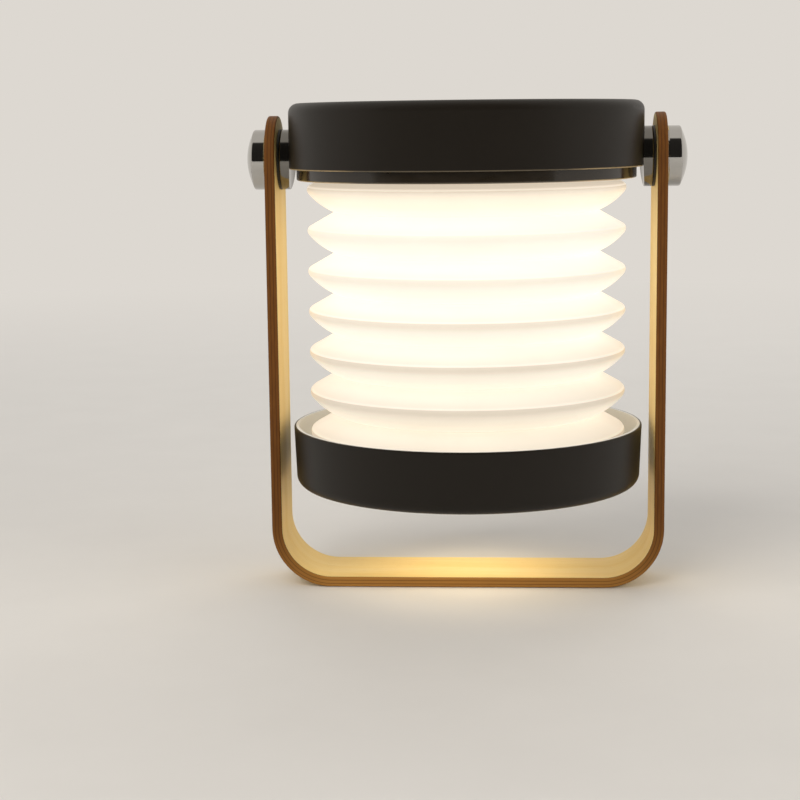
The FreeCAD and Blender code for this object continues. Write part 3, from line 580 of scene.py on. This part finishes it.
def pleat_tree():
    """Nodes that roll a flat grid into a pleated sleeve; each size is an input."""
    tree = bpy.data.node_groups.new("pleated_sleeve", "GeometryNodeTree")
    tree.interface.new_socket("Sleeve", in_out="OUTPUT", socket_type="NodeSocketGeometry")
    for name, kind in (("Valley Radius", "Float"), ("Pleat Depth", "Float"), ("Top", "Float"),
                       ("Height", "Float"), ("Wobble", "Float"), ("Pleats", "Int"), ("Rows", "Int"),
                       ("Segments", "Int"), ("Finish", "Material")):
        tree.interface.new_socket(name, in_out="INPUT", socket_type=f"NodeSocket{kind}")
    given = tree.nodes.new("NodeGroupInput").outputs

    # Each point of the grid: its angle round the sleeve, its pleat and its phase within the pleat
    rows = plus(tree, times(tree, given["Pleats"], given["Rows"]), 1.0)
    around = plus(tree, given["Segments"], 1.0)
    grid = add_node(tree, "GeometryNodeMeshGrid", Size_X=1.0, Size_Y=1.0, Vertices_X=around, Vertices_Y=rows)
    x, y, _ = split(tree, tree.nodes.new("GeometryNodeInputPosition").outputs[0])
    angle = times(tree, plus(tree, x, 0.5), math.tau)
    cosine, sine = math_node(tree, "COSINE", angle), math_node(tree, "SINE", angle)
    row_place = times(tree, minus(tree, 0.5, y), given["Pleats"])
    pleat_number = math_node(tree, "FLOOR", plus(tree, row_place, ROW_NUDGE))
    row = math_node(tree, "MAXIMUM", minus(tree, row_place, pleat_number), 0.0)
    phase = drawn_curve(tree, row, ROW_SPACING, range(len(ROW_SPACING)))
    pleat_place = plus(tree, pleat_number, phase)
    drop = math_node(tree, "DIVIDE", pleat_place, given["Pleats"])

    # The section gives the radius; the crests sway a little
    section = pleat_section()
    crest = drawn_curve(tree, phase, section, (0, 1, len(section) - 1))
    bead = drawn_curve(tree, phase, BEAD_TINT, range(len(BEAD_TINT)))
    spot = add_node(tree, "ShaderNodeCombineXYZ", X=cosine, Y=sine, Z=times(tree, pleat_place, WOBBLE_DRIFT))
    uneven = minus(tree, noise(tree, spot.outputs[0], WOBBLE_SCALE, detail=1.0), 0.5)
    sway = times(tree, uneven, times(tree, crest, given["Wobble"]))
    radius = plus(tree, given["Valley Radius"], times(tree, crest, given["Pleat Depth"]))
    level = plus(tree, minus(tree, given["Top"], times(tree, drop, given["Height"])), sway)
    turned = add_node(tree, "ShaderNodeCombineXYZ", X=times(tree, radius, cosine),
                      Y=times(tree, radius, sine), Z=level)

    sheet = grid.outputs[0]
    for name, value in (("bead", bead), ("drop", drop)):
        stored = add_node(tree, "GeometryNodeStoreNamedAttribute", {"data_type": "FLOAT", "domain": "POINT"},
                          Geometry=sheet, Name=name, Value=value)
        sheet = stored.outputs[0]
    shaped = add_node(tree, "GeometryNodeSetPosition", Geometry=sheet, Position=turned.outputs[0])
    closed = add_node(tree, "GeometryNodeMergeByDistance", Geometry=shaped.outputs[0], Distance=SHADE_SEAM)
    whole = add_node(tree, "GeometryNodeRealizeInstances", Geometry=closed.outputs[0])
    finished = add_node(tree, "GeometryNodeSetMaterial", Geometry=whole.outputs[0], Material=given["Finish"])
    tree.links.new(finished.outputs[0], tree.nodes.new("NodeGroupOutput").inputs[0])
    return tree


def add_lips(mesh):
    """Runs the sleeve's open ends on to the lips that its clamp rings hold."""
    shape = bmesh.new()
    shape.from_mesh(mesh)
    middle = (SHADE_TOP + SHADE_BOTTOM) / 2
    for end_level, upper in ((SHADE_TOP, True), (SHADE_BOTTOM, False)):
        loop = [edge for edge in shape.edges if edge.is_boundary and (edge.verts[0].co.z > middle) == upper]
        for radius in (VALLEY_RADIUS, VALLEY_RADIUS - SHADE_LIP_WIDTH):
            grown = bmesh.ops.extrude_edge_only(shape, edges=loop)["geom"]
            loop = [item for item in grown if isinstance(item, bmesh.types.BMEdge) and item.is_boundary]
            for corner in {vertex for edge in loop for vertex in edge.verts}:
                flat = Vector((corner.co.x, corner.co.y, 0.0)).normalized() * radius
                corner.co = Vector((flat.x, flat.y, end_level))
    bmesh.ops.recalc_face_normals(shape, faces=shape.faces)
    shape.to_mesh(mesh)
    shape.free()


def make_shade():
    """The pleated sleeve, from its nodes, with lips and a wall thickness."""
    finish = shade_finish()
    shade = link_object("pleated_shade", bpy.data.meshes.new("pleated_shade"))
    tree = pleat_tree()
    modifier = shade.modifiers.new("pleats", "NODES")
    modifier.node_group = tree
    sizes = {"Valley Radius": VALLEY_RADIUS, "Pleat Depth": PLEAT_DEPTH, "Top": FIRST_VALLEY,
             "Height": PLEATED_HEIGHT, "Wobble": SHADE_WOBBLE, "Pleats": PLEATS,
             "Rows": PLEAT_ROWS, "Segments": PLEAT_SEGMENTS, "Finish": finish}
    for item in tree.interface.items_tree:
        if item.in_out == "INPUT":
            modifier[item.identifier] = sizes[item.name]
    settle_mesh(shade)
    add_lips(shade.data)
    wall = shade.modifiers.new("wall", "SOLIDIFY")
    wall.thickness = SHADE_WALL
    wall.offset = -1.0
    settle_mesh(shade)
    smooth_with_creases(shade.data, SHADE_CREASE)
    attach(shade, "housing")
    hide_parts("bellows")
    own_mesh(shade)


def place_in_strip(point, inner_half):
    """A point of the bent strip as lengths along it, across it and through it from its inner face,
    and the direction through the strip there."""
    bend_x, bend_z = inner_half - STRIP_BEND, STRIP_THICKNESS + STRIP_BEND
    mid_bend = STRIP_BEND + STRIP_THICKNESS / 2
    side = math.copysign(1.0, point.x)
    reach = abs(point.x)
    if reach <= bend_x:
        along, through, outward = reach, STRIP_THICKNESS - point.z, Vector((0, 0, -1))
    elif point.z >= bend_z:
        along = bend_x + mid_bend * math.pi / 2 + point.z - bend_z
        through, outward = reach - inner_half, Vector((side, 0, 0))
    else:
        turn = math.atan2(reach - bend_x, bend_z - point.z)
        along = bend_x + mid_bend * turn
        through = math.hypot(reach - bend_x, bend_z - point.z) - STRIP_BEND
        outward = Vector((side * math.sin(turn), 0, -math.cos(turn)))
    return Vector((side * along, point.y, through)), outward


def make_handle():
    """The bent strip with its veneer faces and layered edges."""
    inner_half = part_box("handle")[1].x - STRIP_THICKNESS
    shape = bmesh.new()
    shape.from_mesh(NODES["handle"].data)
    bmesh.ops.remove_doubles(shape, verts=shape.verts, dist=CAD_SEAM)
    mesh = bpy.data.meshes.new("bent_strip")
    shape.to_mesh(mesh)
    shape.free()
    strip = link_object("bent_strip", mesh)
    mesh.materials.clear()
    mesh.materials.append(wood_face_finish())
    mesh.materials.append(wood_edge_finish())
    places = mesh.attributes.new("strip_place", "FLOAT_VECTOR", "POINT")
    for vertex in mesh.vertices:
        places.data[vertex.index].vector = place_in_strip(vertex.co, inner_half)[0]
    for face in mesh.polygons:
        outward = place_in_strip(face.center, inner_half)[1]
        square = abs(face.normal.dot(outward)) > FACE_SQUARENESS
        face.material_index = WOOD_FACE if square else WOOD_EDGE
    smooth_with_creases(mesh, STRIP_CREASE)
    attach(strip, "handle")
    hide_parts("handle")


def make_floor():
    """A plain pale floor that fades into the backdrop colour."""
    shape = bmesh.new()
    under = Matrix.Translation((0.0, 0.0, -FLOOR_DROP))
    bmesh.ops.create_circle(shape, cap_ends=True, segments=FLOOR_CORNERS, radius=FLOOR_SIZE, matrix=under)
    mesh = bpy.data.meshes.new("floor")
    shape.to_mesh(mesh)
    shape.free()
    floor = link_object("floor", mesh)
    material, tree, shader = new_finish("pale_floor")
    place = object_place(tree)
    distance = add_node(tree, "ShaderNodeVectorMath", {"operation": "LENGTH"}, Vector=place).outputs["Value"]
    paint(tree, shader, Base_Color=mix_colours(tree, noise(tree, place, 30.0), FLOOR_GREY, FLOOR_PALE),
          Roughness=0.8, Specular_IOR_Level=0.0)
    backdrop = add_node(tree, "ShaderNodeEmission", Color=PALE)
    fade = between(tree, distance, FADE_START, FADE_END, soft=True)
    mixed = add_node(tree, "ShaderNodeMixShader", Fac=fade)
    tree.links.new(shader.outputs[0], mixed.inputs[1])
    tree.links.new(backdrop.outputs[0], mixed.inputs[2])
    tree.links.new(mixed.outputs[0], tree.nodes["Material Output"].inputs[0])
    mesh.materials.append(material)


def make_world():
    """Soft light from all round; the camera and mirrors see the pale backdrop."""
    world = bpy.data.worlds.new("studio")
    bpy.context.scene.world = world
    world.use_nodes = True
    tree = world.node_tree
    rays = tree.nodes.new("ShaderNodeLightPath").outputs
    seen = math_node(tree, "MAXIMUM", rays["Is Camera Ray"], rays["Is Glossy Ray"])
    seen = math_node(tree, "MAXIMUM", seen, rays["Is Transmission Ray"])
    paint(tree, tree.nodes["Background"], Color=mix_colours(tree, seen, AMBIENT, PALE), Strength=1.0)


def make_dark_wall():
    """A wall behind the camera, dark below and pale above, which only polished surfaces see."""
    outline = ((-WALL_REACH, 0.0), (WALL_REACH, 0.0), (WALL_REACH, WALL_HEIGHT), (-WALL_REACH, WALL_HEIGHT))
    mesh = bpy.data.meshes.new("dark_wall")
    mesh.from_pydata([Vector((x, WALL_PLACE, z)) for x, z in outline], [], [(0, 3, 2, 1)])
    wall = link_object("dark_wall", mesh)
    material, tree, shader = new_finish("wall_cloth")
    place = object_place(tree)
    upward = between(tree, split(tree, place)[2], WALL_PALE_FROM * WALL_HEIGHT, WALL_HEIGHT, soft=True)
    cloth = mix_colours(tree, noise(tree, place, 20.0), CLOTH_DARK, CLOTH_LIGHT)
    paint(tree, shader, Base_Color=CLOTH_BASE, Roughness=0.9, Emission_Strength=1.0,
          Emission_Color=mix_colours(tree, upward, cloth, PALE))
    mesh.materials.append(material)
    wall.visible_camera = wall.visible_diffuse = wall.visible_shadow = wall.visible_transmission = False


def make_lights():
    """Softboxes round the lamp, which polished surfaces don't mirror."""
    for name, place, size, power, tint in SOFTBOXES:
        light = bpy.data.lights.new(name, "AREA")
        light.shape = "RECTANGLE"
        light.size, light.size_y = size
        light.energy = power
        light.color = tint
        softbox = link_object(name, light)
        softbox.location = place
        softbox.rotation_euler = (LIT_POINT - Vector(place)).to_track_quat("-Z", "Y").to_euler()
        softbox.visible_glossy = False


def make_camera():
    """The camera at the photographed viewing angle."""
    yaw, pitch, roll = CAMERA_YAW, CAMERA_PITCH, CAMERA_ROLL
    forward = Vector((math.sin(yaw) * math.cos(pitch), math.cos(yaw) * math.cos(pitch), math.sin(pitch)))
    right = Vector((math.cos(yaw), -math.sin(yaw), 0.0))
    upward = right.cross(forward)
    across = right * math.cos(roll) + upward * math.sin(roll)
    over = upward * math.cos(roll) - right * math.sin(roll)
    data = bpy.data.cameras.new("camera")
    data.sensor_width = SENSOR_WIDTH
    data.lens = FOCAL_SHARE * SENSOR_WIDTH
    data.clip_start = CAMERA_NEAR
    camera = link_object("camera", data)
    turned = Matrix((across, over, -forward)).transposed()
    camera.matrix_world = Matrix.Translation(CAMERA_PLACE) @ turned.to_4x4()
    bpy.context.scene.camera = camera


bpy.context.scene.view_settings.view_transform = "Standard"
make_camera()
make_world()
make_lights()
make_floor()
make_dark_wall()
dress_nodes()
make_shade()
make_handle()
